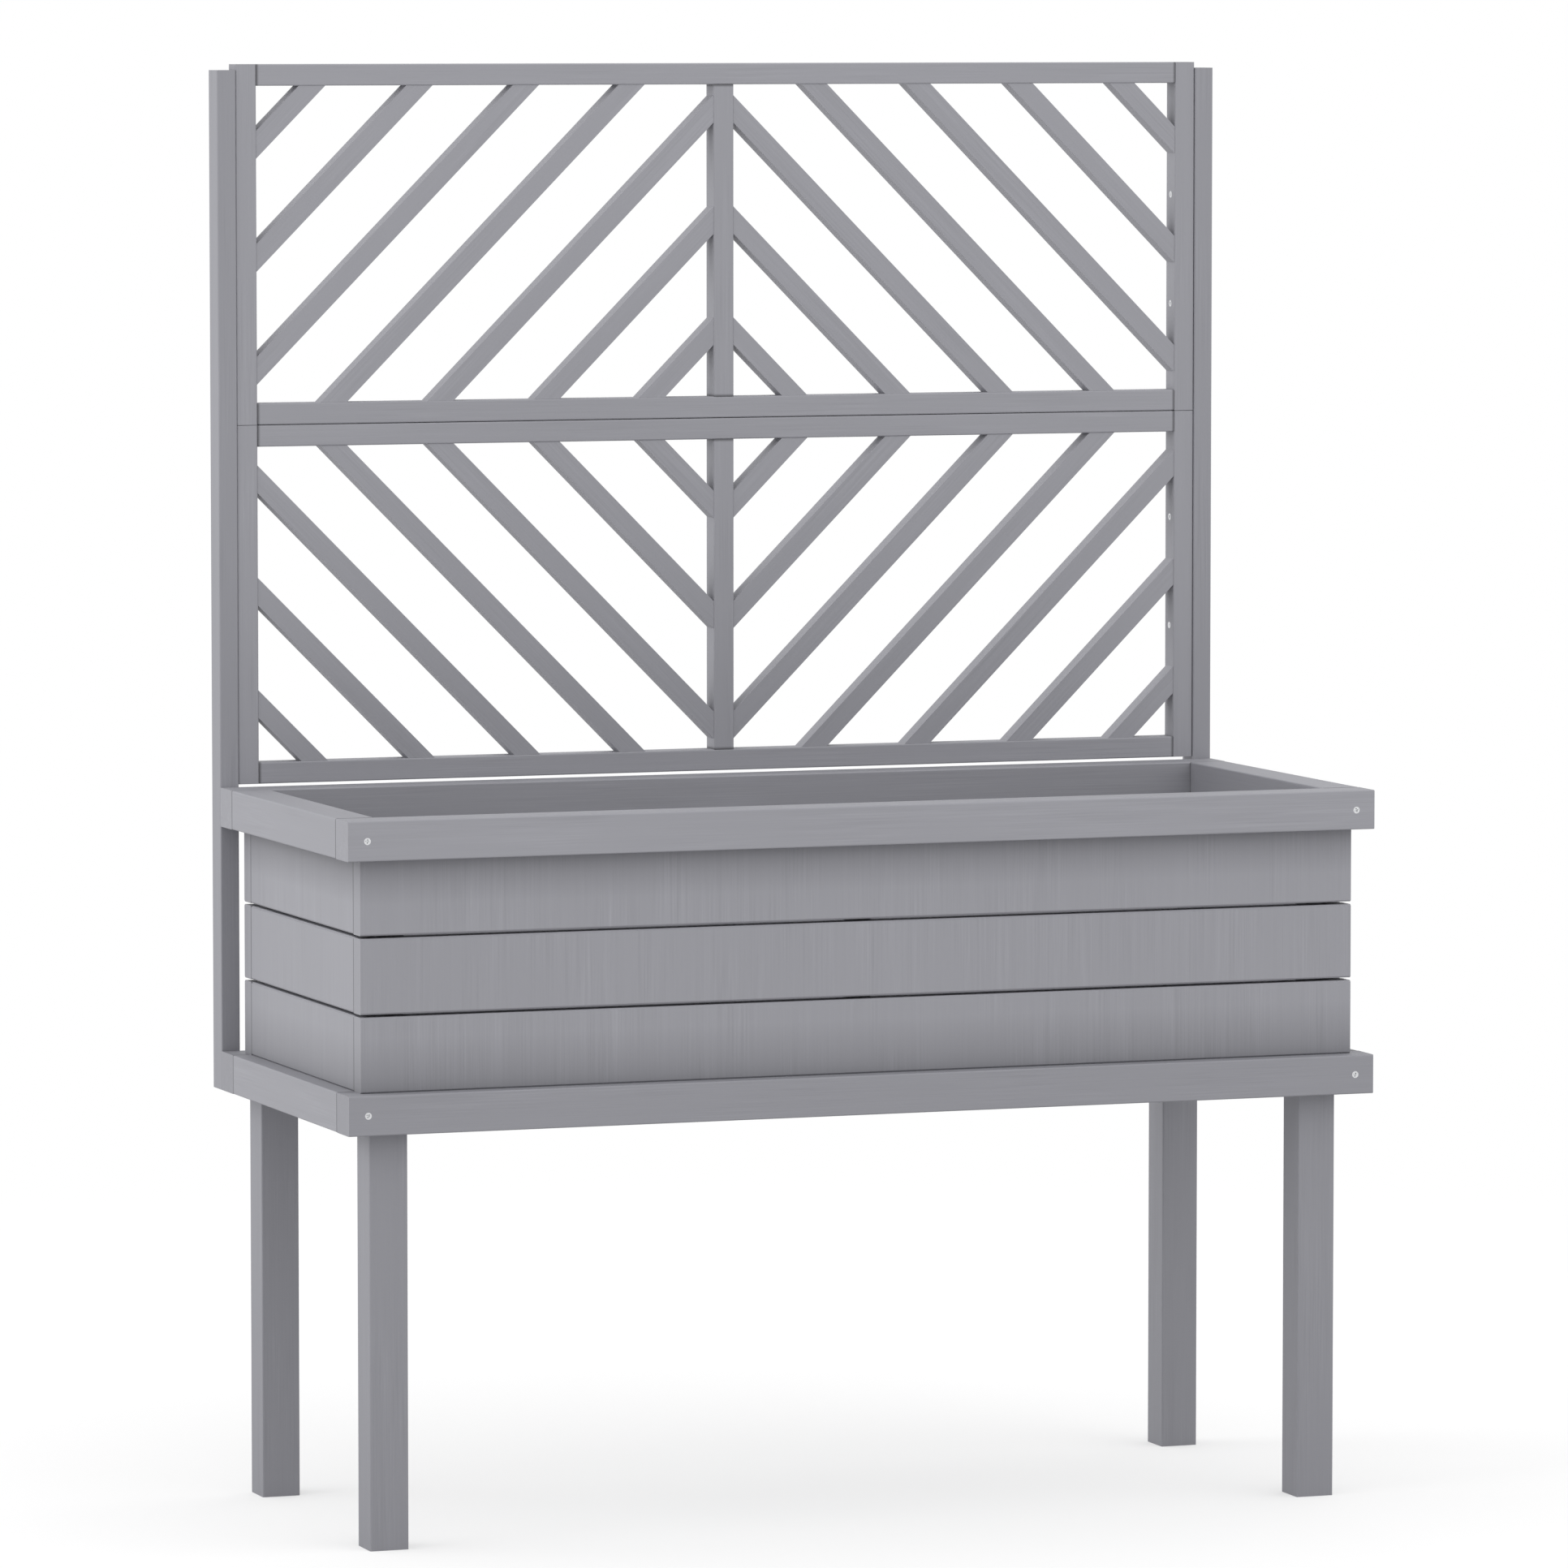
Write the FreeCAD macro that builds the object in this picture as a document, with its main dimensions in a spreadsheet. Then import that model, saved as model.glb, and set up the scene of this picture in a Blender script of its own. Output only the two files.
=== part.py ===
"""Timber planter box on four legs, with a two-panel trellis behind it. Millimetres.

X runs along the box, Y from its front to its back and Z up. The origin is on the floor, under the
middle of the whole footprint. Countersunk screws hold the rings, legs, posts and panels together, and
the boards, battens and slats are seated face to face on what carries them. Every driving size is a
cell of the sheet, and each piece is bound to those cells by expressions, which are written below with
the cells' own names.
"""
import FreeCAD, Part

import os
import re

import Sketcher

SIZES = [
    # the two rings of square rail that hold the box together at its foot and its rim
    ("overall_length", 1100, "length of both rings"),
    ("ring_depth", 435, "front of the rings to their back, without the posts"),
    ("rail_width", 40, "rail, seen from above"),
    ("rail_height", 40, "rail, seen from the front"),
    ("arris_radius", 1.5, "rounding of every planed long edge"),
    # the legs
    ("leg_height", 419, "floor to the underside of the lower ring"),
    ("leg_size", 40, "side of the square leg"),
    ("leg_inset", 30, "ends of the rings, and their front, to the legs"),
    # the walls of the box: stacked boards, bevelled along their outer edges
    ("board_height", 75.5, "height of one wall board"),
    ("board_gap", 2.75, "open joint between two courses of boards"),
    ("board_thickness", 22, "wall board, whose inner face is flush with the rings' inner edge"),
    ("board_bevel", 1.6, "bevel of a board's outer long edges"),
    ("box_inset", 18, "ends and front of the rings to the walls"),
    ("box_back_inset", 24, "back of the rings to the back wall"),
    ("batten_size", 30, "side of the square battens inside the walls"),
    # the floor of the box
    ("bearer_width", 40, "floor bearer, seen from above"),
    ("bearer_height", 20, "floor bearer"),
    ("floor_thickness", 12, "floor board"),
    ("drain_gap", 5, "gap between two floor boards, where water drains"),
    # the posts and the two framed trellis panels between them
    ("post_width", 20, "post, seen from the front"),
    ("post_depth", 30, "post, seen from its side"),
    ("post_drop", 6, "top of the trellis to the tops of the posts"),
    ("panel_lift", 2.5, "upper ring to the lower panel"),
    ("panel_height", 368.5, "one trellis panel"),
    ("panel_joint", 0.5, "between the two panels"),
    ("panel_side_gap", 0.3, "each end of a panel to its post"),
    ("panel_recess", 2, "front of the posts to the front of the panels"),
    ("frame_width", 22, "panel frame, seen from the front"),
    ("frame_depth", 24, "panel frame, front to back"),
    ("slat_width", 20, "slat, across its own length"),
    ("slat_depth", 20, "slat, front to back"),
    ("slat_recess", 1, "front of the panel frame to the front of the slats"),
    ("slat_start", 68, "corner of a bay to the middle of its first slat, along the frame"),
    ("slat_pitch", 115.5, "one slat to the next, along the frame"),
    # the countersunk screws
    ("screw_radius", 2, "shank"),
    ("screw_head_radius", 3.5, "head"),
    ("screw_clearance", 0.05, "round a screw, in its hole"),
    ("frame_screw_length", 70, "screws of the rings and legs"),
    ("post_screw_length", 60, "screws through the posts into the rings"),
    ("panel_screw_length", 35, "screws through the panels into the posts"),
    ("post_side_screw_inset", 30, "ends of a back rail to its screws, clear of the posts"),
    ("leg_screw_spacing", 14, "between the two screws of one leg"),
]
BOARD_COURSES = 3
FLOOR_BOARDS = 5
PANEL_SCREWS = 2
SIDES = (("left", -1), ("right", 1))

doc = FreeCAD.newDocument("PlanterWithTrellis")
sheet = doc.addObject("Spreadsheet::Sheet", "Sizes")
for row, (alias, size, meaning) in enumerate(SIZES, start=1):
    sheet.set(f"A{row}", alias)
    sheet.set(f"B{row}", str(size))
    sheet.set(f"C{row}", meaning)
    sheet.setAlias(f"B{row}", alias)
doc.recompute()
ALIASES = "|".join(sorted((name for name, _, _ in SIZES), key=len, reverse=True))
nodes = {}


def cells(expression):
    """The expression with each cell's name led by its sheet."""
    return re.sub(rf"\b({ALIASES})\b", r"Sizes.\1", str(expression))


def bind(thing, prop, expression):
    thing.setExpression(prop, cells(expression))


def number(expression):
    """What an expression comes to, for a count or a choice."""
    return float(sheet.evalExpression(cells(expression)))


def put(thing, place):
    for axis, expression in zip("xyz", place):
        bind(thing, f"Placement.Base.{axis}", expression)


def node(thing, name):
    thing.Label = name
    nodes[name] = thing
    return thing


# ---- planed timber -------------------------------------------------------------------------------
SECTION_PLANE = {"X": "YZ_Plane", "Y": "XZ_Plane", "Z": "XY_Plane"}
GRAIN = {"X": FreeCAD.Vector(1, 0, 0), "Y": FreeCAD.Vector(0, 1, 0), "Z": FreeCAD.Vector(0, 0, 1)}


def straight_edges(shape, wanted):
    return [f"Edge{i}" for i, edge in enumerate(shape.Edges, start=1) if wanted(edge)]


def runs_along(edge, grain):
    ends = [vertex.Point for vertex in edge.Vertexes]
    return len(ends) == 2 and (ends[1] - ends[0]).cross(grain).Length < 1e-6


def section_sketch(body, plane_role, across, up):
    """A rectangle from the body's origin, as wide and as high as the two expressions say."""
    sketch = body.newObject("Sketcher::SketchObject", "Section")
    plane = next(f for f in body.Origin.OriginFeatures if f.Role == plane_role)
    sketch.AttachmentSupport = [(plane, "")]
    sketch.MapMode = "FlatFace"
    corners = [FreeCAD.Vector(*xy) for xy in ((0, 0), (10, 0), (10, 10), (0, 10))]
    for i in range(4):
        sketch.addGeometry(Part.LineSegment(corners[i], corners[(i + 1) % 4]), False)
    for i in range(4):
        sketch.addConstraint(Sketcher.Constraint("Coincident", i, 2, (i + 1) % 4, 1))
    for i in (0, 2):
        sketch.addConstraint(Sketcher.Constraint("Horizontal", i))
        sketch.addConstraint(Sketcher.Constraint("Vertical", i + 1))
    sketch.addConstraint(Sketcher.Constraint("Coincident", 0, 1, -1, 1))
    sketch.addConstraint(Sketcher.Constraint("DistanceX", 0, 1, 0, 2, 10))
    sketch.renameConstraint(sketch.ConstraintCount - 1, "across")
    sketch.addConstraint(Sketcher.Constraint("DistanceY", 1, 1, 1, 2, 10))
    sketch.renameConstraint(sketch.ConstraintCount - 1, "up")
    bind(sketch, "Constraints.across", across)
    bind(sketch, "Constraints.up", up)
    return sketch


def sawn(name, grain, size, place):
    """A square-edged piece: its section padded along the grain, from its low corner."""
    body = doc.addObject("PartDesign::Body", name)
    across, up = [size["XYZ".index(axis)] for axis in "XYZ" if axis != grain]
    pad = body.newObject("PartDesign::Pad", "Length")
    sketch = section_sketch(body, SECTION_PLANE[grain], across, up)
    pad.Profile = sketch
    pad.Reversed = grain == "Y"
    bind(pad, "Length", size["XYZ".index(grain)])
    body.Tip = pad
    put(body, place)
    doc.recompute()
    return body


def timber(name, grain, size, place):
    """A planed piece, with its four long edges rounded."""
    body = sawn(name, grain, size, place)
    pad = body.Tip
    rounding = body.newObject("PartDesign::Fillet", "Arrises")
    rounding.Base = (pad, straight_edges(pad.Shape, lambda e: runs_along(e, GRAIN[grain])))
    bind(rounding, "Radius", "arris_radius")
    body.Tip = rounding
    doc.recompute()
    return node(body, name)


def wall_board(name, grain, size, place, outward):
    """A board whose two outer long edges are bevelled; outward is the way its face looks."""
    body = sawn(name, grain, size, place)
    pad = body.Tip
    face_reach = max(v.Point.dot(outward) for v in pad.Shape.Vertexes)

    def outer(edge):
        on_face = all(v.Point.dot(outward) > face_reach - 1e-6 for v in edge.Vertexes)
        return on_face and runs_along(edge, GRAIN[grain])

    bevel = body.newObject("PartDesign::Chamfer", "Bevels")
    bevel.Base = (pad, straight_edges(pad.Shape, outer))
    bind(bevel, "Size", "board_bevel")
    body.Tip = bevel
    doc.recompute()
    return node(body, name)


# ---- levels and faces that several pieces share ------------------------------------------------------
LEFT = "-overall_length / 2"
FRONT = "-(ring_depth + post_depth) / 2"
RING_BACK = f"({FRONT} + ring_depth)"
LOWER_RING = "leg_height"
WALL_FOOT = "(leg_height + rail_height)"
WALL_HEIGHT = f"({BOARD_COURSES} * board_height + {BOARD_COURSES - 1} * board_gap)"
UPPER_RING = f"({WALL_FOOT} + {WALL_HEIGHT})"
RIM = f"({UPPER_RING} + rail_height)"
FLOOR_TOP = f"({LOWER_RING} + bearer_height + floor_thickness)"


def mirrored(side, inset, width="0"):
    """The low X of something that lies inset from one end of the rings and is width wide."""
    if side < 0:
        return f"{LEFT} + {inset}"
    return f"overall_length / 2 - ({inset}) - ({width})"


# ---- the two rings ------------------------------------------------------------------------------------
# the front and back rails run the whole length, and the end rails are butted between them
for level, foot in (("lower", LOWER_RING), ("upper", UPPER_RING)):
    long_rail = ("overall_length", "rail_width", "rail_height")
    timber(f"{level}_rail_front", "X", long_rail, (LEFT, FRONT, foot))
    timber(f"{level}_rail_back", "X", long_rail, (LEFT, f"{RING_BACK} - rail_width", foot))
    end_rail = ("rail_width", "ring_depth - 2 * rail_width", "rail_height")
    for side_name, side in SIDES:
        place = (mirrored(side, "0", "rail_width"), f"{FRONT} + rail_width", foot)
        timber(f"{level}_rail_{side_name}", "Y", end_rail, place)

# ---- the legs -----------------------------------------------------------------------------------------
# the front legs stand in from the front, and the rear ones are flush with the back of the rings
LEG_FRONT = f"{FRONT} + leg_inset"
LEG_REAR = f"{RING_BACK} - leg_size"
for side_name, side in SIDES:
    for row_name, row_place in (("front", LEG_FRONT), ("rear", LEG_REAR)):
        place = (mirrored(side, "leg_inset", "leg_size"), row_place, "0")
        timber(f"leg_{row_name}_{side_name}", "Z", ("leg_size", "leg_size", "leg_height"), place)

# ---- the walls ----------------------------------------------------------------------------------------
# the front and back boards cover the ends of the side boards
BOX_FRONT = f"({FRONT} + box_inset)"
BOX_BACK = f"({RING_BACK} - box_back_inset)"
BOX_LENGTH = "(overall_length - 2 * box_inset)"
SIDE_BOARD = f"({BOX_BACK} - {BOX_FRONT} - 2 * board_thickness)"
COURSES = ("bottom", "middle", "top")
for course in range(BOARD_COURSES):
    foot = f"{WALL_FOOT} + {course} * (board_height + board_gap)"
    long_board = (BOX_LENGTH, "board_thickness", "board_height")
    place = (f"{LEFT} + box_inset", BOX_FRONT, foot)
    wall_board(f"front_board_{COURSES[course]}", "X", long_board, place, -GRAIN["Y"])
    place = (f"{LEFT} + box_inset", f"{BOX_BACK} - board_thickness", foot)
    wall_board(f"back_board_{COURSES[course]}", "X", long_board, place, GRAIN["Y"])
    for side_name, side in SIDES:
        end_board = ("board_thickness", SIDE_BOARD, "board_height")
        place = (mirrored(side, "box_inset", "board_thickness"), f"{BOX_FRONT} + board_thickness", foot)
        wall_board(f"{side_name}_board_{COURSES[course]}", "Y", end_board, place, GRAIN["X"] * side)

# square battens inside the box, one in each corner and one at the middle of each long wall, which
# stand on the floor boards and reach up to the upper ring
BATTEN = ("batten_size", "batten_size", f"{UPPER_RING} - {FLOOR_TOP}")
INNER_FRONT = f"{BOX_FRONT} + board_thickness"
INNER_BACK = f"{BOX_BACK} - board_thickness - batten_size"
for row_name, row_place in (("front", INNER_FRONT), ("back", INNER_BACK)):
    timber(f"wall_batten_{row_name}", "Z", BATTEN, ("-batten_size / 2", row_place, FLOOR_TOP))
    for side_name, side in SIDES:
        place = (mirrored(side, "(box_inset + board_thickness)", "batten_size"), row_place, FLOOR_TOP)
        timber(f"corner_batten_{row_name}_{side_name}", "Z", BATTEN, place)

# ---- the floor ----------------------------------------------------------------------------------------
# bearers cross the lower ring, and the boards lie on them lengthwise with gaps that drain
INNER_DEPTH = "(ring_depth - 2 * rail_width)"
BEARER = ("bearer_width", INNER_DEPTH, "bearer_height")
timber("floor_bearer_middle", "Y", BEARER, ("-bearer_width / 2", f"{FRONT} + rail_width", LOWER_RING))
for side_name, side in SIDES:
    place = (mirrored(side, "rail_width", "bearer_width"), f"{FRONT} + rail_width", LOWER_RING)
    timber(f"floor_bearer_{side_name}", "Y", BEARER, place)

FLOOR_WIDTH = f"(({INNER_DEPTH} - {FLOOR_BOARDS - 1} * drain_gap) / {FLOOR_BOARDS})"
for board in range(FLOOR_BOARDS):
    place = (
        f"{LEFT} + rail_width",
        f"{FRONT} + rail_width + {board} * ({FLOOR_WIDTH} + drain_gap)",
        f"{LOWER_RING} + bearer_height",
    )
    size = ("overall_length - 2 * rail_width", FLOOR_WIDTH, "floor_thickness")
    timber(f"floor_board_{board + 1}", "X", size, place)

# ---- the posts ----------------------------------------------------------------------------------------
# they stand behind the rings, from the foot of the lower one to just under the trellis's top
PANEL_FOOT = f"({RIM} + panel_lift)"
TRELLIS_TOP = f"({PANEL_FOOT} + 2 * panel_height + panel_joint)"
POST_LENGTH = f"({TRELLIS_TOP} - post_drop - {LOWER_RING})"
for side_name, side in SIDES:
    place = (mirrored(side, "0", "post_width"), RING_BACK, LOWER_RING)
    timber(f"post_{side_name}", "Z", ("post_width", "post_depth", POST_LENGTH), place)

# ---- the trellis panels -------------------------------------------------------------------------------
PANEL_FRONT = f"({RING_BACK} + panel_recess)"
PANEL_EDGE = "(post_width + panel_side_gap)"
PANEL_LENGTH = f"(overall_length - 2 * {PANEL_EDGE})"
BAY_WIDTH = f"(({PANEL_LENGTH} - 3 * frame_width) / 2)"
BAY_HEIGHT = "(panel_height - 2 * frame_width)"
HALF_BAND = "(slat_width * sqrt(2) / 4)"


def slat(name, number_in_bay, side, lift, corner_z):
    """A bar at 45 degrees, longer than its bay. In a bay, u is the way from the middle stile and v the
    way from the rail where the slats start, and the bar's middle line is u + v = start + n * pitch."""
    reach = f"(slat_start + {number_in_bay} * slat_pitch)"
    length = f"sqrt(2) * ({reach} + 2 * slat_width)"
    begin_u, begin_v = (f"({reach} + slat_width)", "(-slat_width)")
    if side > 0:
        begin_u, begin_v = begin_v, begin_u
    slope = -side * lift
    place = (
        f"{side} * (frame_width / 2 + {begin_u}) + {slope} * {HALF_BAND}",
        f"{PANEL_FRONT} + slat_recess",
        f"{corner_z} + {lift} * {begin_v} - {HALF_BAND}",
    )
    body = sawn(name, "X", (length, "slat_depth", "slat_width"), place)
    body.Placement.Rotation = FreeCAD.Rotation(FreeCAD.Vector(0, 1, 0), -45 * slope)
    return body


for level, lift in (("lower", -1), ("upper", 1)):
    foot = PANEL_FOOT if lift < 0 else f"({PANEL_FOOT} + panel_height + panel_joint)"
    frame_foot = f"({foot} + frame_width)"
    stile = ("frame_width", "frame_depth", "panel_height")
    for side_name, side in SIDES:
        place = (mirrored(side, PANEL_EDGE, "frame_width"), PANEL_FRONT, foot)
        timber(f"{level}_stile_{side_name}", "Z", stile, place)
    place = ("-frame_width / 2", PANEL_FRONT, frame_foot)
    timber(f"{level}_stile_middle", "Z", ("frame_width", "frame_depth", BAY_HEIGHT), place)
    rail = (f"{PANEL_LENGTH} - 2 * frame_width", "frame_depth", "frame_width")
    inner_edge = f"{LEFT} + {PANEL_EDGE} + frame_width"
    timber(f"{level}_panel_rail_bottom", "X", rail, (inner_edge, PANEL_FRONT, foot))
    top_foot = f"{frame_foot} + {BAY_HEIGHT}"
    timber(f"{level}_panel_rail_top", "X", rail, (inner_edge, PANEL_FRONT, top_foot))

    # the slats start at the rail where the two panels meet, and are cut to the frame of their bay
    corner_z = frame_foot if lift > 0 else top_foot
    for side_name, side in SIDES:
        bay = doc.addObject("Part::Box", f"{level}_bay_{side_name}")
        bind(bay, "Length", BAY_WIDTH)
        bind(bay, "Width", "frame_depth")
        bind(bay, "Height", BAY_HEIGHT)
        inner = "frame_width / 2" if side > 0 else f"-frame_width / 2 - {BAY_WIDTH}"
        put(bay, (inner, PANEL_FRONT, frame_foot))
        bars = []
        while number(f"slat_start + {len(bars)} * slat_pitch + 2 * {HALF_BAND}") < number(
            f"{BAY_WIDTH} + {BAY_HEIGHT}"
        ):
            bars.append(slat(f"{level}_bar_{side_name}_{len(bars)}", len(bars), side, lift, corner_z))
        lattice = doc.addObject("Part::Compound", f"{level}_bars_{side_name}")
        lattice.Links = bars
        cut = doc.addObject("Part::Common", f"{level}_slats_{side_name}")
        cut.Base = lattice
        cut.Tool = bay
        node(cut, f"{level}_slats_{side_name}")
doc.recompute()

# ---- screws -------------------------------------------------------------------------------------------
# each points from its head, which lies flush in the piece it holds, to its tip
TURN = {
    "+X": FreeCAD.Rotation(FreeCAD.Vector(0, 1, 0), 90),
    "-X": FreeCAD.Rotation(FreeCAD.Vector(0, 1, 0), -90),
    "+Y": FreeCAD.Rotation(FreeCAD.Vector(1, 0, 0), -90),
    "-Y": FreeCAD.Rotation(FreeCAD.Vector(1, 0, 0), 90),
    "-Z": FreeCAD.Rotation(FreeCAD.Vector(1, 0, 0), 180),
}


def countersunk(name, length, spare, way, place):
    """A cone that narrows from the head to the shank, and the shank; spare is added to both radii."""
    head = doc.addObject("Part::Cone", f"{name}_head")
    bind(head, "Radius1", f"screw_head_radius + {spare}")
    bind(head, "Radius2", f"screw_radius + {spare}")
    bind(head, "Height", "screw_head_radius - screw_radius")
    shank = doc.addObject("Part::Cylinder", f"{name}_shank")
    bind(shank, "Radius", f"screw_radius + {spare}")
    bind(shank, "Height", f"{length} + {spare}")
    whole = doc.addObject("Part::Fuse", name)
    whole.Base = head
    whole.Tool = shank
    put(whole, place)
    whole.Placement.Rotation = TURN[way]
    return whole


def screws(name, length, places, held):
    """One node with a screw at each place, and a hole round each in the pieces that it holds."""
    group = doc.addObject("Part::Compound", name)
    group.Links = [
        countersunk(f"{name}_{i}", length, "0", way, place) for i, (way, place) in enumerate(places)
    ]
    node(group, name)
    holes = doc.addObject("Part::Compound", f"{name}_holes")
    holes.Links = [
        countersunk(f"{name}_hole_{i}", length, "screw_clearance", way, place)
        for i, (way, place) in enumerate(places)
    ]
    doc.recompute()
    for piece in held:
        blank = nodes[piece]
        blank.Label = f"{piece}_blank"
        drilled = doc.addObject("Part::Cut", f"{piece}_drilled")
        drilled.Base = blank
        drilled.Tool = holes
        node(drilled, piece)
    doc.recompute()


# through the front and back rails of each ring into the ends of the end rails
ring_places = []
for foot in (LOWER_RING, UPPER_RING):
    middle = f"{foot} + rail_height / 2"
    for _, side in SIDES:
        ring_places.append(("+Y", (mirrored(side, "rail_width / 2"), FRONT, middle)))
        ring_places.append(("-Y", (mirrored(side, "post_side_screw_inset"), RING_BACK, middle)))
rails = [f"{lv}_rail_{at}" for lv in ("lower", "upper") for at in ("front", "back", "left", "right")]
screws("ring_screws", "frame_screw_length", ring_places, rails)

# through the posts into the back rails
post_places = []
for foot in (LOWER_RING, UPPER_RING):
    for _, side in SIDES:
        back = f"{RING_BACK} + post_depth"
        post_places.append(("-Y", (mirrored(side, "post_width / 2"), back, f"{foot} + rail_height / 2")))
held = ["post_left", "post_right", "lower_rail_back", "upper_rail_back"]
screws("post_screws", "post_screw_length", post_places, held)

# down into the end grain of the legs: through a floor bearer in front, through the back rail behind
leg_places = []
for _, side in SIDES:
    for step in (-1, 1):
        spread = f"{step} * leg_screw_spacing / 2"
        front_x = mirrored(side, "(rail_width + leg_inset + leg_size) / 2")
        front_y = f"{FRONT} + (rail_width + leg_inset + leg_size) / 2 + {spread}"
        leg_places.append(("-Z", (front_x, front_y, f"{LOWER_RING} + bearer_height")))
        rear_x = f"{mirrored(side, '(leg_inset + leg_size / 2)')} + {spread}"
        leg_places.append(("-Z", (rear_x, f"{RING_BACK} - box_back_inset / 2", WALL_FOOT)))
legs = [f"leg_{row_name}_{side_name}" for row_name in ("front", "rear") for side_name, _ in SIDES]
held = legs + ["floor_bearer_left", "floor_bearer_right", "lower_rail_back"]
screws("leg_screws", "frame_screw_length", leg_places, held)

# through the outer stiles of the panels into the posts, half way between two slats' ends
panel_places = []
first = 0
while number(f"slat_start + ({first} + 0.5) * slat_pitch - {BAY_WIDTH} - screw_head_radius") < 0:
    first += 1
for gap in range(PANEL_SCREWS):
    way_up = f"(slat_start + {first + gap + 0.5} * slat_pitch - {BAY_WIDTH})"
    if number(f"{way_up} + screw_head_radius - {BAY_HEIGHT}") > 0:
        break
    for _, side in SIDES:
        toward_post = "-X" if side < 0 else "+X"
        x = mirrored(side, f"({PANEL_EDGE} + frame_width)")
        y = f"{PANEL_FRONT} + frame_depth / 2"
        panel_meet = f"{PANEL_FOOT} + panel_height"
        panel_places.append((toward_post, (x, y, f"{panel_meet} - frame_width - {way_up}")))
        panel_places.append((toward_post, (x, y, f"{panel_meet} + panel_joint + frame_width + {way_up}")))
held = [f"{level}_stile_{side_name}" for level in ("lower", "upper") for side_name, _ in SIDES]
screws("panel_screws", "panel_screw_length", panel_places, held + ["post_left", "post_right"])

# ---- check every object, then write the pieces ----------------------------------------------------------
doc.recompute()
faulty = [thing.Label for thing in doc.Objects if {"Invalid", "Error"} & set(thing.State)]
for name, thing in nodes.items():
    if thing.Shape.isNull() or not thing.Shape.isValid() or not thing.Shape.Solids:
        faulty.append(name)
if faulty:
    raise SystemExit(f"not built: {sorted(set(faulty))}")

os.makedirs("parts", exist_ok=True)
for name, thing in nodes.items():
    thing.Shape.exportStep(os.path.join("parts", f"{name}.step"))
solids = sum(len(thing.Shape.Solids) for thing in nodes.values())
print(f"{len(nodes)} nodes, {solids} solids")
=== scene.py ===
"""A painted timber planter box on legs with a trellis behind it, in the order that it is put together:
legs, lower ring, floor, walls, upper ring, posts, trellis and screws. Then its floor, light and camera."""
import math

import bpy
import numpy as np
from mathutils import Matrix, Vector


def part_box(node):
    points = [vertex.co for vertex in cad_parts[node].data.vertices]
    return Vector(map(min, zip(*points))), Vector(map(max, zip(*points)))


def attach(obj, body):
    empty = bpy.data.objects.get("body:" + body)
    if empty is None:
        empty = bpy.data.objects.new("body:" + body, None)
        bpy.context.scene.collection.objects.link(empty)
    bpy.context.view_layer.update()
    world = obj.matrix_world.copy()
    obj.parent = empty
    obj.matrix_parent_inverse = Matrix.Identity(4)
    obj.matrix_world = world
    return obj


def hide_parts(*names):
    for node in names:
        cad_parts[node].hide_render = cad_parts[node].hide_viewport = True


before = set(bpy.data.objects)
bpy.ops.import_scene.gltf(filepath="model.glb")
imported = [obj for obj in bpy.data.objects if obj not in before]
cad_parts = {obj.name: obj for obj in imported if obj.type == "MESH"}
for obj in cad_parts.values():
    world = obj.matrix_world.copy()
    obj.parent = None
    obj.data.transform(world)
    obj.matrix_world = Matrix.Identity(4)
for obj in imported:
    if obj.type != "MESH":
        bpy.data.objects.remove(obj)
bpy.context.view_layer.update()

# ---- legs ----
# Four legs of square planed softwood, cut square at both ends and painted all over with a satin
# water-based garden paint, in a cool grey with a trace of violet. It is brushed on along the legs.
GARDEN_GREY = "#95959B"
# a darker grey that paints shade on most legs, the posts and the long rails of the lower ring
SHADED_GREY = "#8F8F95"
# how far apart two pieces' stretches of the pattern lie, in metres
PATTERN_STEP = np.array([3.7, 1.3, 2.9])
# how the coat's tone varies: the width and length of the streaks in metres, their detail and their swing
FINE = (0.0018, 0.10, 3, 0.20)
BROAD = (0.011, 0.30, 2, 0.10)
DRIFT = (0.25, 0.6, 1, 0.08)
# where streaks are bold and where they are faint: a patch's width, length and detail, and how strong
# the streaks are in each
PATCH = (0.035, 0.12, 1)
FAINT, BOLD = 0.35, 1.7
# the tone of a sawn end beside the rest, and how far up from its foot and down from its top a piece's
# painted shade reaches, in metres
SAWN_END = 0.98
FOOT_SHADE_REACH, RIM_SHADE_REACH = 0.055, 0.045
# a joint's hairline: how far in from the piece's end it starts, where it is darkest, and how dark
HAIRLINE_START, HAIRLINE_DARKEST, HAIRLINE_TONE = 0.0030, 0.0007, 0.40
coated = []


def linear(hex_colour):
    """An sRGB hex colour as the linear one that shaders take: v / 12.92 up to 0.04045, and above it
    ((v + 0.055) / 1.055) to the power 2.4."""
    v = np.array([int(hex_colour[i : i + 2], 16) for i in (1, 3, 5)]) / 255
    return (*np.where(v <= 0.04045, v / 12.92, ((v + 0.055) / 1.055) ** 2.4), 1.0)


def add(tree, kind, inputs=(), **settings):
    """One more node of that kind. inputs pairs an input's name or number with a value, or with the
    output of another node to link it to, and the settings are the node's own properties."""
    node = tree.nodes.new(kind)
    for name, value in settings.items():
        setattr(node, name, value)
    for socket, value in inputs:
        if isinstance(value, bpy.types.NodeSocket):
            tree.links.new(value, node.inputs[socket])
        else:
            node.inputs[socket].default_value = value
    return node.outputs[0]


def calculate(tree, operation, *values):
    """A Math node on the values, each a number or the output of another node."""
    return add(tree, "ShaderNodeMath", list(enumerate(values)), operation=operation)


def ramp(tree, value, span, ends):
    """The value taken from the span's range to the ends' range, and held at those ends beyond it."""
    limits = [("From Min", span[0]), ("From Max", span[1]), ("To Min", ends[0]), ("To Max", ends[1])]
    return add(tree, "ShaderNodeMapRange", [("Value", value), *limits])


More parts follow.
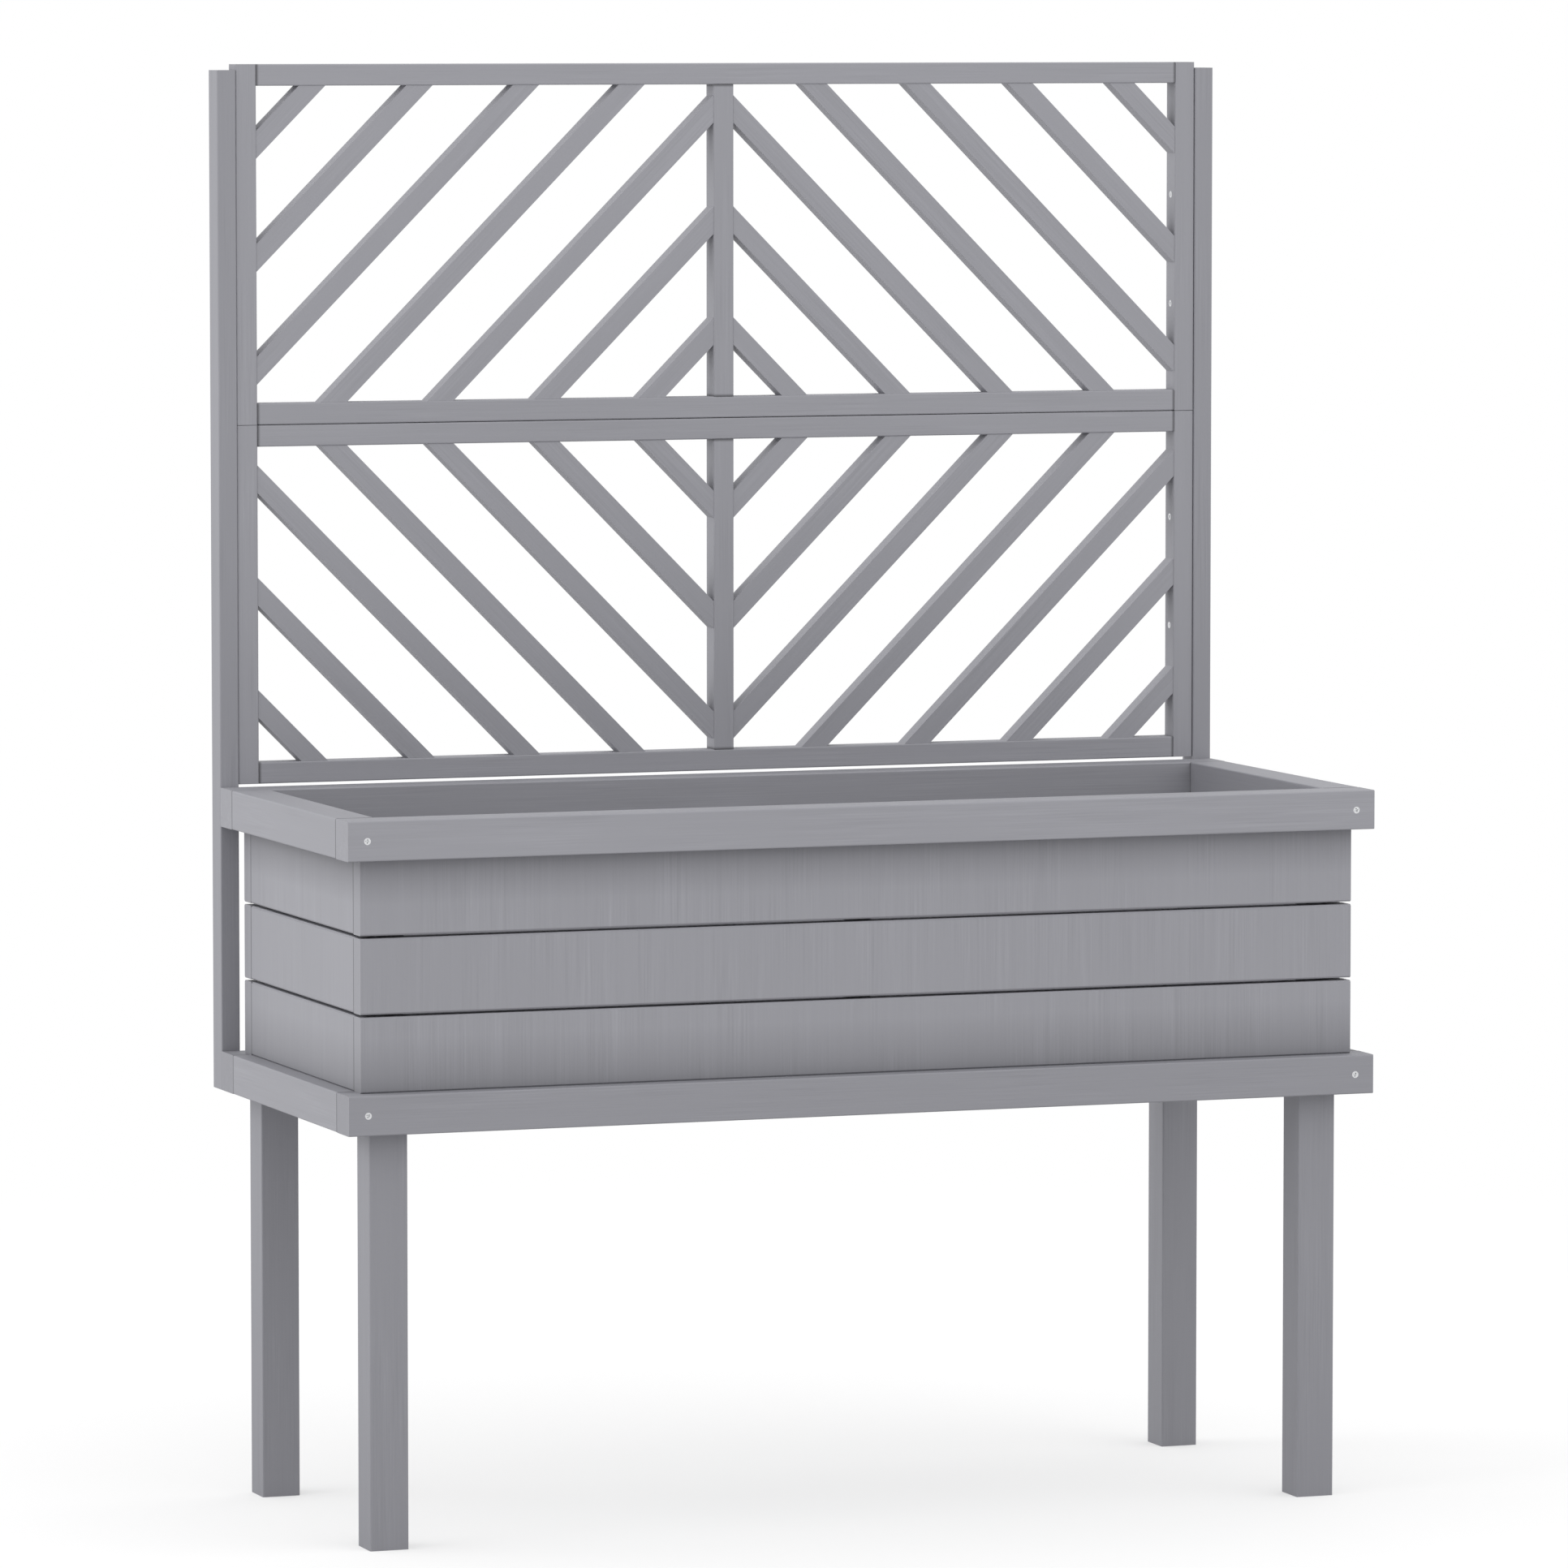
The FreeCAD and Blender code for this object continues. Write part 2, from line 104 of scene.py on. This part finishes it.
def scaled_colour(tree, hex_colour, factor):
    """The colour, made paler or darker by the factor."""
    return add(
        tree,
        "ShaderNodeVectorMath",
        [(0, linear(hex_colour)[:3]), ("Scale", factor)],
        operation="SCALE",
    )


def paint_timber(name, strokes, paint=GARDEN_GREY, foot=0.0, rim=0.0, butted=False):
    """Planed softwood under satin garden paint. The coat is thinner on the ridges that brush and
    early wood leave, so the eye sees streaks about 2 mm wide and a hand long, bold in some patches
    and nearly gone in others, a slow drift of tone, and a soft sheen that breaks up along them.
    Sawn ends soak up more paint and dry duller. strokes is the way the streaks run, X, Y, Z, or / and
    \\ at 45 degrees. foot and rim are how much painted shade darkens the coat at the piece's foot and
    at its top under the ring, and each fades over about 50 mm. A butted piece meets others with both
    its ends, and the coat breaks into a dark hairline along those joints."""
    material = bpy.data.materials.new(f"garden_paint_on_softwood_{name}")
    material.use_nodes = True
    tree = material.node_tree
    shader = tree.nodes["Principled BSDF"]
    shader.inputs["IOR"].default_value = 1.48
    shader.inputs["Specular IOR Level"].default_value = 0.4

    # a stretch of the pattern of its own for each piece, so that no two look alike
    coated.append(name)
    turn = {"/": math.radians(45), "\\": math.radians(-45)}.get(strokes, 0)
    place = tree.nodes.new("ShaderNodeTexCoord")
    laid = add(
        tree,
        "ShaderNodeMapping",
        [
            ("Vector", place.outputs["Object"]),
            ("Rotation", (0, turn, 0)),
            ("Location", len(coated) * PATTERN_STEP),
        ],
    )
    lengthwise = {"Y": 1, "Z": 2}.get(strokes, 0)

    def streaks(width, length, detail):
        """Noise drawn out: one blob is width across and length along the strokes."""
        scale = np.full(3, 1 / width)
        scale[lengthwise] = 1 / length
        drawn_out = add(tree, "ShaderNodeMapping", [("Vector", laid), ("Scale", scale)])
        return add(
            tree,
            "ShaderNodeTexNoise",
            [("Vector", drawn_out), ("Scale", 1.0), ("Detail", detail), ("Roughness", 0.6)],
        )

    fine, broad, drift = (streaks(*pattern[:3]) for pattern in (FINE, BROAD, DRIFT))
    bold = ramp(tree, streaks(*PATCH), (0.4, 0.65), (FAINT, BOLD))
    tone = 1.0
    for pattern, swing, amount in ((fine, FINE[3], bold), (broad, BROAD[3], bold), (drift, DRIFT[3], 1.0)):
        # tone + swing * (pattern - 0.5) * amount
        level = calculate(tree, "MULTIPLY_ADD", pattern, swing, -swing / 2)
        tone = calculate(tree, "MULTIPLY_ADD", level, amount, tone)

    # the sawn ends, whose faces look along the timber
    low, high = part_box(name)
    size = high - low
    grain = max(range(3), key=lambda axis: size[axis])
    if strokes not in "/\\":
        normal = add(tree, "ShaderNodeSeparateXYZ", [("Vector", place.outputs["Normal"])]).node
        facing = calculate(tree, "ABSOLUTE", normal.outputs[grain])
        tone = calculate(tree, "MULTIPLY", tone, ramp(tree, facing, (0.8, 1.0), (1.0, SAWN_END)))

    spot = add(tree, "ShaderNodeSeparateXYZ", [("Vector", place.outputs["Object"])]).node.outputs
    if butted:
        middle, half = (low[grain] + high[grain]) / 2, size[grain] / 2
        from_middle = calculate(tree, "ABSOLUTE", calculate(tree, "SUBTRACT", spot[grain], middle))
        span = (half - HAIRLINE_START, half - HAIRLINE_DARKEST)
        tone = calculate(tree, "MULTIPLY", tone, ramp(tree, from_middle, span, (1.0, HAIRLINE_TONE)))
    # painted shade: the coat is darkened up from the piece's foot and down from its top
    for edge, reach, share in ((low.z, FOOT_SHADE_REACH, foot), (high.z, -RIM_SHADE_REACH, rim)):
        if share:
            painted_shade = ramp(tree, spot[2], (edge, edge + reach), (1 - share, 1.0))
            tone = calculate(tree, "MULTIPLY", tone, painted_shade)

    tree.links.new(scaled_colour(tree, paint, tone), shader.inputs["Base Color"])
    tree.links.new(ramp(tree, fine, (0, 1), (0.5, 0.68)), shader.inputs["Roughness"])
    relief = add(tree, "ShaderNodeBump", [("Height", fine), ("Distance", 0.00012)])
    tree.links.new(relief, shader.inputs["Normal"])

    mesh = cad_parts[name].data
    mesh.materials.clear()
    mesh.materials.append(material)


for row in ("front", "rear"):
    for side in ("left", "right"):
        # painted shade: all legs but the rear right one take the darker grey
        shaded = (row, side) != ("rear", "right")
        paint_timber(f"leg_{row}_{side}", "Z", paint=SHADED_GREY if shaded else GARDEN_GREY)

# ---- lower ring ----
# Four rails of the same square timber. The front and back ones run through and are screwed to the
# ends of the other two. It stands on the legs and carries the walls.
for side, strokes in (("front", "X"), ("back", "X"), ("left", "Y"), ("right", "Y")):
    # painted shade: the long front and back rails take the darker grey
    paint = SHADED_GREY if strokes == "X" else GARDEN_GREY
    paint_timber(f"lower_rail_{side}", strokes, paint=paint, butted=strokes == "Y")

# ---- floor of the box ----
# Three bearers across the lower ring, and five thin boards lengthwise on them. The gaps between the
# boards let water out.
for side in ("left", "middle", "right"):
    paint_timber(f"floor_bearer_{side}", "Y")
for board in range(1, 6):
    paint_timber(f"floor_board_{board}", "X")

# ---- walls ----
# Three courses of boards with bevelled edges, nailed to upright battens inside the box. They were
# coated across their length, so their fine streaks stand upright. Shade is painted into the coat along
# the foot of the box and under the rim, more deeply on the end walls.
# how much painted shade darkens the foot and the rim, and how much more of it the end walls take
FOOT_SHADE_SHARE, RIM_SHADE_SHARE, END_WALL_SHADE_EXTRA = 0.28, 0.26, 1.4
for course, foot, rim in (("bottom", FOOT_SHADE_SHARE, 0.0), ("middle", 0.0, 0.0), ("top", 0.0, RIM_SHADE_SHARE)):
    for side in ("front", "back", "left", "right"):
        butted = side in ("left", "right")
        shade = rim * END_WALL_SHADE_EXTRA if butted else rim
        paint_timber(f"{side}_board_{course}", "Z", foot=foot, rim=shade, butted=butted)
for row in ("front", "back"):
    paint_timber(f"wall_batten_{row}", "Z")
    for side in ("left", "right"):
        paint_timber(f"corner_batten_{row}_{side}", "Z")

# ---- upper ring ----
# The rim: the same ring again, which covers the tops of the boards and stands proud of them.
for side, strokes in (("front", "X"), ("back", "X"), ("left", "Y"), ("right", "Y")):
    paint_timber(f"upper_rail_{side}", strokes, butted=strokes == "Y")

# ---- posts ----
# Two slimmer timbers that stand behind the rings, at their ends, and hold the trellis.
for side in ("left", "right"):
    # painted shade: the posts take the darker grey
    paint_timber(f"post_{side}", "Z", paint=SHADED_GREY)

# ---- trellis ----
# Two framed panels, one over the other, between the posts. Their slats run at 45 degrees and meet in
# a point at the middle stile, upwards in the upper panel and downwards in the lower one.
for level, slopes in (("lower", "\\/"), ("upper", "/\\")):
    for side in ("left", "middle", "right"):
        paint_timber(f"{level}_stile_{side}", "Z", butted=side == "middle")
    for side in ("top", "bottom"):
        paint_timber(f"{level}_panel_rail_{side}", "X", butted=True)
    for side, slope in zip(("left", "right"), slopes):
        paint_timber(f"{level}_slats_{side}", slope)

# ---- screws ----
# Countersunk wood screws of zinc-plated steel, bright as they came from the box and not painted over.
# Only the heads show, flush with the timber, and each has a pressed cross recess and points its own way.
FRONT, BACK, UP = (0, -1, 0), (0, 1, 0), (0, 0, 1)
SIDES = ((-1, "left"), (1, "right"))
# half the distance between a leg's two screws, and the ring's ends to the screws in its back rail
LEG_SPREAD, BACK_RAIL_INSET = 0.007, 0.030
# the rails where the panels meet to each panel's first screw, and the first screw to the next
FIRST_PANEL_SCREW, SLAT_PITCH = 0.09105, 0.1155


def middle(name):
    """The middle of a piece's box."""
    low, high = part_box(name)
    return (low + high) / 2


ring_heights = [middle(f"{ring}_rail_front").z for ring in ("lower", "upper")]
ring_low, ring_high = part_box("upper_rail_front")[0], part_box("upper_rail_back")[1]

# each ring's long rails into the middles of its end rails' ends, and behind, clear of the posts
ring_places = []
for _, at in SIDES:
    ring_places += [((middle(f"upper_rail_{at}").x, ring_low.y, z), FRONT) for z in ring_heights]
for side, _ in SIDES:
    ring_places += [((side * (ring_high.x - BACK_RAIL_INSET), ring_high.y, z), BACK) for z in ring_heights]

# the posts into the back rails
post_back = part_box("post_left")[1].y
post_places = [((middle(f"post_{at}").x, post_back, z), BACK) for _, at in SIDES for z in ring_heights]

# down into the legs: in front through a bearer, in the middle of where it covers the leg, and behind
# through the back rail, in the middle of the strip that it leaves behind the wall
leg_places = []
for _, at in SIDES:
    leg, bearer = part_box(f"leg_front_{at}"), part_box(f"floor_bearer_{at}")
    x, y = ((max(leg[0][i], bearer[0][i]) + min(leg[1][i], bearer[1][i])) / 2 for i in (0, 1))
    leg_places += [((x, y + step, bearer[1].z), UP) for step in (-LEG_SPREAD, LEG_SPREAD)]
strip = (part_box("back_board_bottom")[1].y + ring_high.y) / 2
rail_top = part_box("lower_rail_back")[1].z
for _, at in SIDES:
    x = middle(f"leg_rear_{at}").x
    leg_places += [((x + step, strip, rail_top), UP) for step in (-LEG_SPREAD, LEG_SPREAD)]

# through the outer stiles into the posts, twice in each panel, half way between two slats' ends
panels_meet = (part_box("lower_panel_rail_top")[0].z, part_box("upper_panel_rail_bottom")[1].z)
rises = (FIRST_PANEL_SCREW, FIRST_PANEL_SCREW + SLAT_PITCH)
heights = sorted([panels_meet[0] - rise for rise in rises] + [panels_meet[1] + rise for rise in rises])
panel_places = []
for side, at in SIDES:
    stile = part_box(f"lower_stile_{at}")
    inner = stile[1].x if side < 0 else stile[0].x
    depth = middle(f"lower_stile_{at}").y
    panel_places += [((inner, depth, z), (-side, 0, 0)) for z in heights]

screw_groups = {
    # group: length in metres, and for each screw the middle of its head and the way that it faces
    "ring_screws": (0.070, ring_places),
    "post_screws": (0.060, post_places),
    "leg_screws": (0.070, leg_places),
    "panel_screws": (0.035, panel_places),
}
HEAD_RADIUS, SHANK_RADIUS, TIP = 0.0035, 0.0020, 0.007
CROSS_REACH, CROSS_HALF_WIDTH, CROSS_DEPTH = 0.0021, 0.00055, 0.0013


def screw_surface(length):
    """A screw's points and faces, with its head's face at z = 0 and its tip at z = -length. Rings of
    points lie at the same angles a, on circles, and in the head on the outline of a cross. A cross
    of two bars of half length L and half width w reaches, at angle a,
    max(min(L / |cos a|, w / |sin a|), min(w / |cos a|, L / |sin a|))."""
    corner = math.atan2(CROSS_HALF_WIDTH, CROSS_REACH)
    quarter = np.array([0, corner, (corner + np.pi / 4) / 2, np.pi / 4])
    quarter = np.concatenate([quarter, np.pi / 2 - quarter[2:0:-1]])
    angles = np.concatenate([quarter + turn * np.pi / 2 for turn in range(4)])
    c, s = np.maximum(abs(np.cos(angles)), 1e-9), np.maximum(abs(np.sin(angles)), 1e-9)
    cross = np.maximum(
        np.minimum(CROSS_REACH / c, CROSS_HALF_WIDTH / s),
        np.minimum(CROSS_HALF_WIDTH / c, CROSS_REACH / s),
    )
    circle = np.ones_like(angles)
    rings = [
        # radius at each angle, and height
        (cross * 0.55, -CROSS_DEPTH),
        (cross, 0),
        (circle * HEAD_RADIUS, 0),
        (circle * SHANK_RADIUS, SHANK_RADIUS - HEAD_RADIUS),
        (circle * SHANK_RADIUS, TIP - length),
    ]
    around = len(angles)
    points = [np.stack([r * np.cos(angles), r * np.sin(angles), 0 * r + z], axis=1) for r, z in rings]
    points = np.concatenate(points + [[[0, 0, -length]]])
    faces = [list(range(around))]
    for ring in range(len(rings) - 1):
        for i in range(around):
            j = (i + 1) % around
            a, b = ring * around, (ring + 1) * around
            faces.append([a + j, a + i, b + i, b + j])
    last = (len(rings) - 1) * around
    faces += [[last + (i + 1) % around, last + i, len(points) - 1] for i in range(around)]
    return points, faces


# Bright plating with a faint blue cast. It is mottled by a few shades and in its gloss, at about 1 mm,
# so that the heads glint unevenly.
zinc = bpy.data.materials.new("zinc_plated_steel")
zinc.use_nodes = True
tree = zinc.node_tree
shader = tree.nodes["Principled BSDF"]
shader.inputs["Metallic"].default_value = 1.0
place = tree.nodes.new("ShaderNodeTexCoord").outputs["Object"]
mottle = add(tree, "ShaderNodeTexNoise", [("Vector", place), ("Scale", 900.0), ("Detail", 3.0)])
shade = ramp(tree, mottle, (0, 1), (0.84, 1.1))
tree.links.new(scaled_colour(tree, "#DCDDDF", shade), shader.inputs["Base Color"])
tree.links.new(ramp(tree, mottle, (0, 1), (0.22, 0.45)), shader.inputs["Roughness"])

turned = np.random.default_rng(7)
for name, (length, screws) in screw_groups.items():
    points, faces = screw_surface(length)
    all_points, all_faces = [], []
    for head, way in screws:
        # the cross turned at random, then the screw's own axis laid along the way that it faces
        turn = Matrix.Rotation(turned.uniform(0, math.pi / 2), 3, "Z")
        laid = np.array(Vector(way).to_track_quat("Z", "Y").to_matrix() @ turn)
        all_faces += [[corner + len(all_points) for corner in face] for face in faces]
        all_points += (points @ laid.T + head).tolist()
    mesh = bpy.data.meshes.new(f"{name}_with_cross_heads")
    mesh.from_pydata(all_points, [], all_faces)
    mesh.materials.append(zinc)
    piece = bpy.data.objects.new(f"{name}_with_cross_heads", mesh)
    bpy.context.scene.collection.objects.link(piece)
    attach(piece, "root")
    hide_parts(name)

# ---- studio floor ----
# A pale paper floor that runs out into the white backdrop. It glows a little to the camera alone, so
# that it looks white and keeps a soft shadow, and sends less light up to the planter than it shows.
FLOOR_RADIUS = 9.0
# from the middle, where the paper starts to fade and where it has gone
PAPER_ENDS = (0.8, 2.8)
turns = np.linspace(0, 2 * np.pi, 96, endpoint=False)
edge = FLOOR_RADIUS * np.stack([np.cos(turns), np.sin(turns), 0 * turns], axis=1)
paper_mesh = bpy.data.meshes.new("studio_floor")
paper_mesh.from_pydata(edge.tolist(), [], [list(range(len(edge)))])
paper_sheet = bpy.data.objects.new("studio_floor", paper_mesh)
bpy.context.scene.collection.objects.link(paper_sheet)

paper = bpy.data.materials.new("white_paper")
paper.use_nodes = True
tree = paper.node_tree
tree.nodes.remove(tree.nodes["Principled BSDF"])
lit = add(tree, "ShaderNodeBsdfDiffuse", [("Color", linear("#BCBCBC"))])
glow = add(tree, "ShaderNodeEmission", [("Color", (1, 1, 1, 1)), ("Strength", 0.47)])
seen = add(tree, "ShaderNodeAddShader", [(0, lit), (1, glow)])
dim = add(tree, "ShaderNodeBsdfDiffuse", [("Color", linear("#C0C0C0"))])
ray = tree.nodes.new("ShaderNodeLightPath")
near = add(tree, "ShaderNodeMixShader", [(0, ray.outputs["Is Camera Ray"]), (1, dim), (2, seen)])
place = tree.nodes.new("ShaderNodeTexCoord").outputs["Object"]
away = add(tree, "ShaderNodeVectorMath", [(0, place)], operation="LENGTH").node.outputs["Value"]
fade = add(
    tree,
    "ShaderNodeMapRange",
    [("Value", away), ("From Min", PAPER_ENDS[0]), ("From Max", PAPER_ENDS[1])],
    interpolation_type="SMOOTHSTEP",
)
beyond = add(tree, "ShaderNodeBsdfTransparent")
surface = add(tree, "ShaderNodeMixShader", [(0, fade), (1, near), (2, beyond)])
tree.links.new(surface, tree.nodes["Material Output"].inputs["Surface"])
paper_mesh.materials.append(paper)

# ---- light ----
# An even white studio on all sides. A wide soft lamp on the left makes the left faces the palest, as in
# the photograph, and one high in front lets the upper ring shade the boards under it.
studio = bpy.data.worlds.new("studio")
bpy.context.scene.world = studio
studio.use_nodes = True
white = studio.node_tree.nodes["Background"]
white.inputs["Color"].default_value = (1, 1, 1, 1)
white.inputs["Strength"].default_value = 1.0


def soft_lamp(name, come_from, spread, brightness):
    """A distant lamp. spread is how wide it looks, in degrees, and brightness is how a white surface
    that faces it would show, where 1 is white."""
    lamp = bpy.data.lights.new(name, "SUN")
    lamp.angle = math.radians(spread)
    lamp.energy = brightness * math.pi
    holder = bpy.data.objects.new(name, lamp)
    holder.rotation_euler = Vector(come_from).to_track_quat("Z", "Y").to_euler()
    bpy.context.scene.collection.objects.link(holder)


soft_lamp("lamp_left", (-0.93, 0.12, 0.34), 60, 0.285)
soft_lamp("lamp_front", (0.35, -0.62, 0.70), 70, 0.12)

# ---- camera ----
# A long lens in front of the planter and to its left, nearly 10 m away and 1.5 m up. It looks down a
# little. The places and angles were fitted to the corners of the box and the trellis.
lens = bpy.data.cameras.new("camera")
lens.sensor_width = 36
lens.lens = 217.79
lens.clip_end = 100
camera = bpy.data.objects.new("camera", lens)
camera.location = (-3.3453, -9.1038, 1.5346)
camera.rotation_euler = (math.radians(90 - 4.7141), 0, math.radians(-20.1308))
bpy.context.scene.collection.objects.link(camera)
bpy.context.scene.camera = camera
bpy.context.scene.view_settings.view_transform = "Standard"
